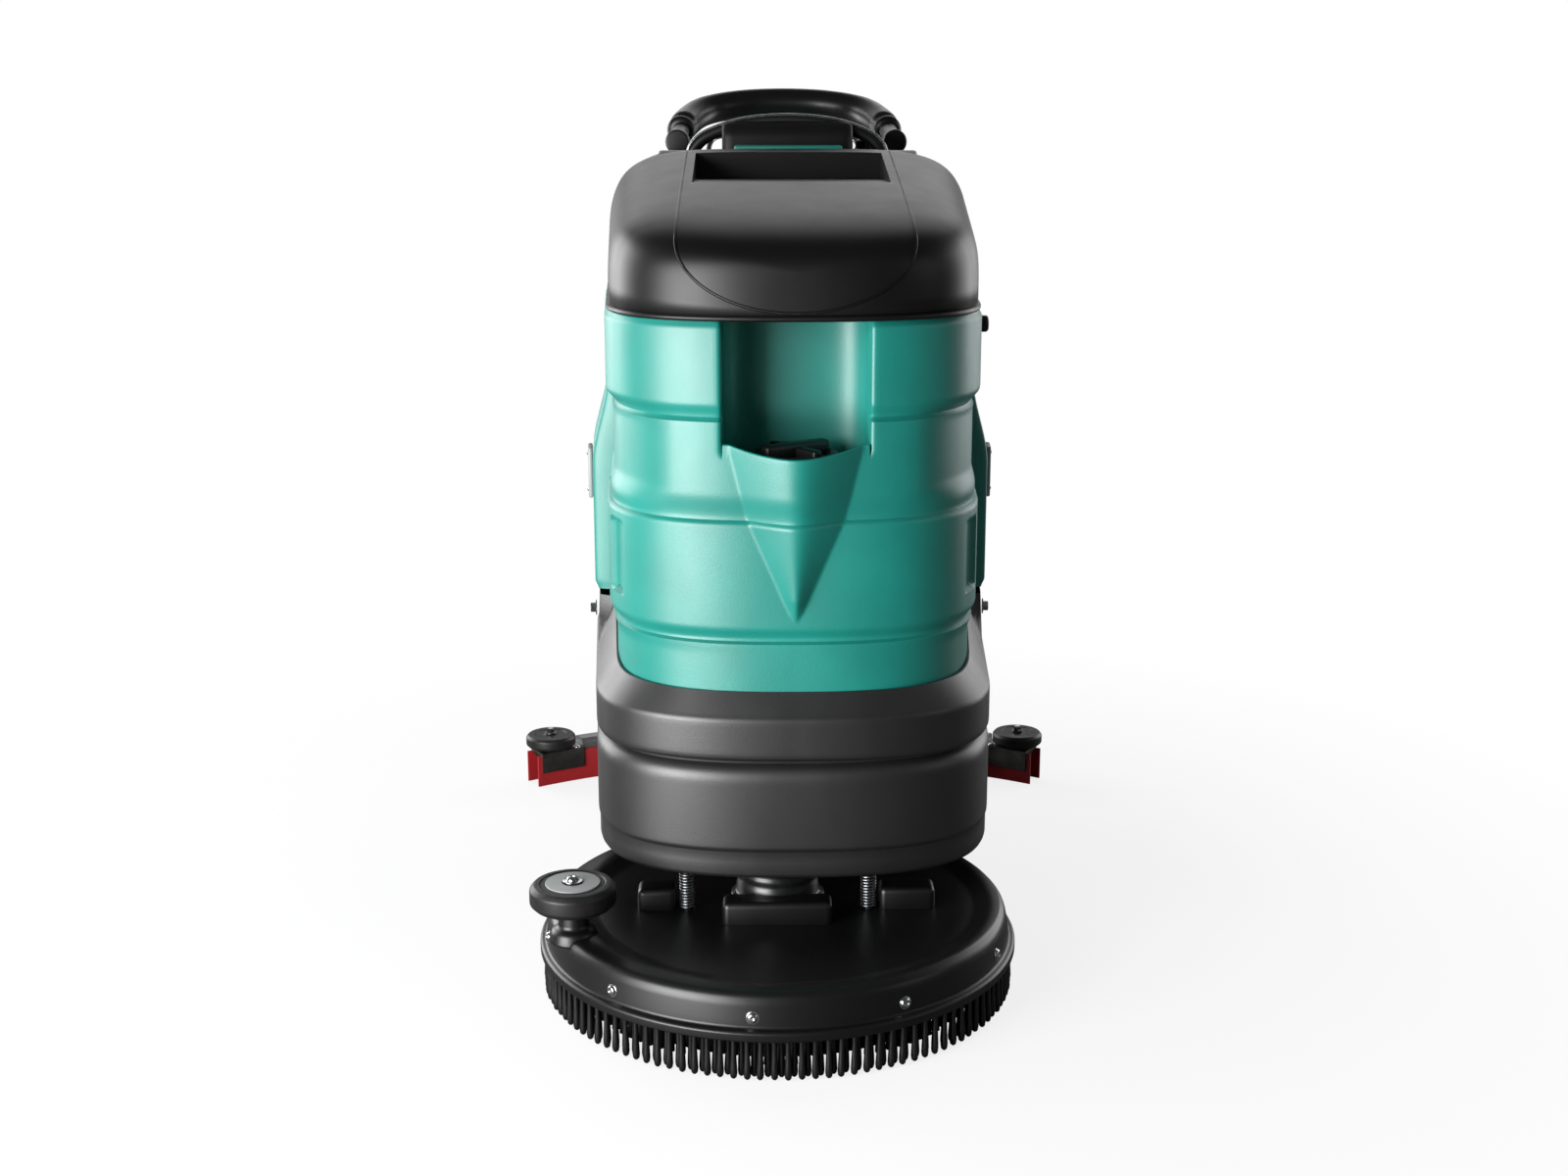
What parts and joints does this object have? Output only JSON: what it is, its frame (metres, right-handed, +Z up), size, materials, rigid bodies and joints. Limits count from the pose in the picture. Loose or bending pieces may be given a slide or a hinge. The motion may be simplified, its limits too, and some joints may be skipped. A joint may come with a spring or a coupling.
{
  "type": "wet dry floor scrubber",
  "caption": "Walk-behind disc floor scrubber with teal tanks, black lid and shell, round brush deck with tuft skirt and bumper, curved squeegee and loop handle.",
  "frame": {"origin": "on the floor, under the middle of the machine's box", "axes": "-Y to the front (brush end), +Y to the operator's handle, +Z up, +X to the side of the lift lever and deck pedal"},
  "size_m": [0.79, 1.16, 1.035],
  "materials": {
    "teal_tank": "roto-moulded polyethylene, fine stipple",
    "shell_plastic": "moulded polyethylene, fine texture",
    "lid_plastic": "smooth satin",
    "black_plastic": "satin",
    "soft_grip": "soft foam grip",
    "black_steel": "powder coated",
    "zinc_steel": "zinc plated",
    "bright_steel": "stainless",
    "cast_aluminium": "cast",
    "red_polyurethane": "semi-gloss polyurethane",
    "tyre_rubber": "matt",
    "roller_rubber": "matt",
    "battery_case": "satin",
    "deck_plastic": "satin moulded",
    "motor_paint": "satin paint",
    "brush_board": "moulded",
    "bristle": "nylon",
    "strainer_plastic": "natural",
    "display_glass": "gloss window",
    "plate_plastic": "satin"
  },
  "bodies": {
    "machine": {"chassis": "zinc_steel", "lower_shell": "shell_plastic", "front_tank": "teal_tank", "rear_tank": "teal_tank", "filler_strainer": "strainer_plastic", "vacuum_motor": "cast_aluminium", "float_housing": "black_plastic", "console": "black_plastic", "display_window": "display_glass", "handle_tube": "black_steel", "handle_grip": "soft_grip", "battery_left": "battery_case", "battery_right": "battery_case", "drive_controller": "black_plastic", "transaxle": "cast_aluminium", "axle": "bright_steel", "lever_bracket": "black_plastic", "suction_spigot": "black_plastic", "drain_cap": "black_plastic", "side_plate_left": "plate_plastic", "side_plate_right": "plate_plastic", "side_knob": "black_plastic"},
    "lid": {"lid": "lid_plastic"},
    "filler_cap": {"filler_cap": "black_plastic"},
    "deck": {"deck_cover": "deck_plastic", "tuft_skirt": "deck_plastic", "deck_spring_left": "bright_steel", "deck_spring_right": "bright_steel", "bumper_post": "bright_steel", "brush_motor": "motor_paint", "spindle_bearing": "bright_steel"},
    "brush": {"spindle_hub": "cast_aluminium", "brush_block": "brush_board", "brush_bristles": "bristle"},
    "bumper_roller": {"bumper_roller": "roller_rubber"},
    "wheel_left": {"wheel_hub_left": "cast_aluminium", "tyre_left": "tyre_rubber"},
    "wheel_right": {"wheel_hub_right": "cast_aluminium", "tyre_right": "tyre_rubber"},
    "castor_left": {"castor_fork_left": "zinc_steel"},
    "castor_right": {"castor_fork_right": "zinc_steel"},
    "castor_wheel_left": {"castor_wheel_left": "roller_rubber"},
    "castor_wheel_right": {"castor_wheel_right": "roller_rubber"},
    "squeegee_arm": {"squeegee_arm": "zinc_steel"},
    "squeegee": {"squeegee_bar": "cast_aluminium", "front_blade": "red_polyurethane", "rear_blade": "red_polyurethane", "end_bracket_left": "bright_steel", "end_bracket_right": "bright_steel", "squeegee_plate": "zinc_steel"},
    "squeegee_roller_left": {"squeegee_roller_left": "roller_rubber"},
    "squeegee_roller_right": {"squeegee_roller_right": "roller_rubber"},
    "lift_lever": {"lift_lever": "zinc_steel", "lever_knob": "red_polyurethane"},
    "deck_pedal": {"deck_pedal": "zinc_steel"},
    "drive_bail": {"drive_bail": "zinc_steel"},
    "key": {"key_switch": "bright_steel"},
    "brush_switch": {"brush_switch": "black_plastic"},
    "vacuum_switch": {"vacuum_switch": "black_plastic"},
    "solution_knob": {"solution_knob": "black_plastic"}
  },
  "joints": [
    {"name": "lid_hinge", "type": "hinge", "parent": "machine", "child": "lid", "pos_m": [0, 0.1177, 0.954], "axis": [-1, 0, 0], "range_deg": [0, 75]},
    {"name": "cap_lift", "type": "slide", "parent": "machine", "child": "filler_cap", "axis": [0, -0.722, 0.6919], "range_m": [0, 0.24]},
    {"name": "deck_lift", "type": "slide", "parent": "machine", "child": "deck", "axis": [0, 0, 1], "range_m": [0, 0.03], "deforming": ["deck_spring_left", "deck_spring_right"]},
    {"name": "brush_spin", "type": "hinge", "parent": "deck", "child": "brush", "pos_m": [-0.02, -0.3, 0.05], "axis": [0, 0, 1], "continuous": true},
    {"name": "bumper_spin", "type": "hinge", "parent": "deck", "child": "bumper_roller", "pos_m": [-0.252, -0.4, 0.145], "axis": [0, 0, 1], "continuous": true},
    {"name": "wheel_left_spin", "type": "hinge", "parent": "machine", "child": "wheel_left", "pos_m": [-0.208, 0.08, 0.1], "axis": [1, 0, 0], "continuous": true},
    {"name": "wheel_right_spin", "type": "hinge", "parent": "machine", "child": "wheel_right", "pos_m": [0.208, 0.08, 0.1], "axis": [1, 0, 0], "continuous": true},
    {"name": "castor_left_swivel", "type": "hinge", "parent": "machine", "child": "castor_left", "pos_m": [-0.16, 0.27, 0.15], "axis": [0, 0, 1], "continuous": true},
    {"name": "castor_left_roll", "type": "hinge", "parent": "castor_left", "child": "castor_wheel_left", "pos_m": [-0.16, 0.295, 0.0375], "axis": [1, 0, 0], "continuous": true},
    {"name": "castor_right_swivel", "type": "hinge", "parent": "machine", "child": "castor_right", "pos_m": [0.16, 0.27, 0.15], "axis": [0, 0, 1], "continuous": true},
    {"name": "castor_right_roll", "type": "hinge", "parent": "castor_right", "child": "castor_wheel_right", "pos_m": [0.16, 0.295, 0.0375], "axis": [1, 0, 0], "continuous": true},
    {"name": "squeegee_lift", "type": "hinge", "parent": "machine", "child": "squeegee_arm", "pos_m": [0, 0.3, 0.12], "axis": [1, 0, 0], "range_deg": [0, 14]},
    {"name": "squeegee_swivel", "type": "hinge", "parent": "squeegee_arm", "child": "squeegee", "pos_m": [0, 0.488, 0.069], "axis": [0, 0, 1], "range_deg": [-12, 12]},
    {"name": "squeegee_roller_left_spin", "type": "hinge", "parent": "squeegee", "child": "squeegee_roller_left", "pos_m": [-0.3575, 0.4015, 0.067], "axis": [0, 0, 1], "continuous": true},
    {"name": "squeegee_roller_right_spin", "type": "hinge", "parent": "squeegee", "child": "squeegee_roller_right", "pos_m": [0.3575, 0.4015, 0.067], "axis": [0, 0, 1], "continuous": true},
    {"name": "lever_pull", "type": "hinge", "parent": "machine", "child": "lift_lever", "pos_m": [0.165, 0.3683, 0.56], "axis": [-1, 0, 0], "range_deg": [0, 30]},
    {"name": "pedal_press", "type": "hinge", "parent": "machine", "child": "deck_pedal", "pos_m": [0.181, 0.354, 0.129], "axis": [-1, 0, 0], "range_deg": [0, 20]},
    {"name": "bail_squeeze", "type": "hinge", "parent": "machine", "child": "drive_bail", "pos_m": [0, 0.3646, 0.912], "axis": [1, 0, 0], "range_deg": [0, 6], "stiffness_Nm_per_rad": 2},
    {"name": "key_turn", "type": "hinge", "parent": "machine", "child": "key", "pos_m": [0.045, 0.306, 0.955], "axis": [0, 0.359, 0.9333], "range_deg": [0, 90]},
    {"name": "brush_switch_press", "type": "slide", "parent": "machine", "child": "brush_switch", "axis": [0, -0.359, -0.9333], "range_m": [0, 0.002], "stiffness_N_per_m": 400},
    {"name": "vacuum_switch_press", "type": "slide", "parent": "machine", "child": "vacuum_switch", "axis": [0, -0.359, -0.9333], "range_m": [0, 0.002], "stiffness_N_per_m": 400},
    {"name": "solution_knob_turn", "type": "hinge", "parent": "machine", "child": "solution_knob", "pos_m": [0.108, 0.25, 0.9481], "axis": [0, 0.0444, 0.999], "range_deg": [0, 270]}
  ],
  "couplings": [
    {"joint": "squeegee_lift", "follows": "lever_pull", "ratio": 0.46667},
    {"joint": "deck_lift", "follows": "pedal_press", "m_per_rad": 0.085944}
  ]
}
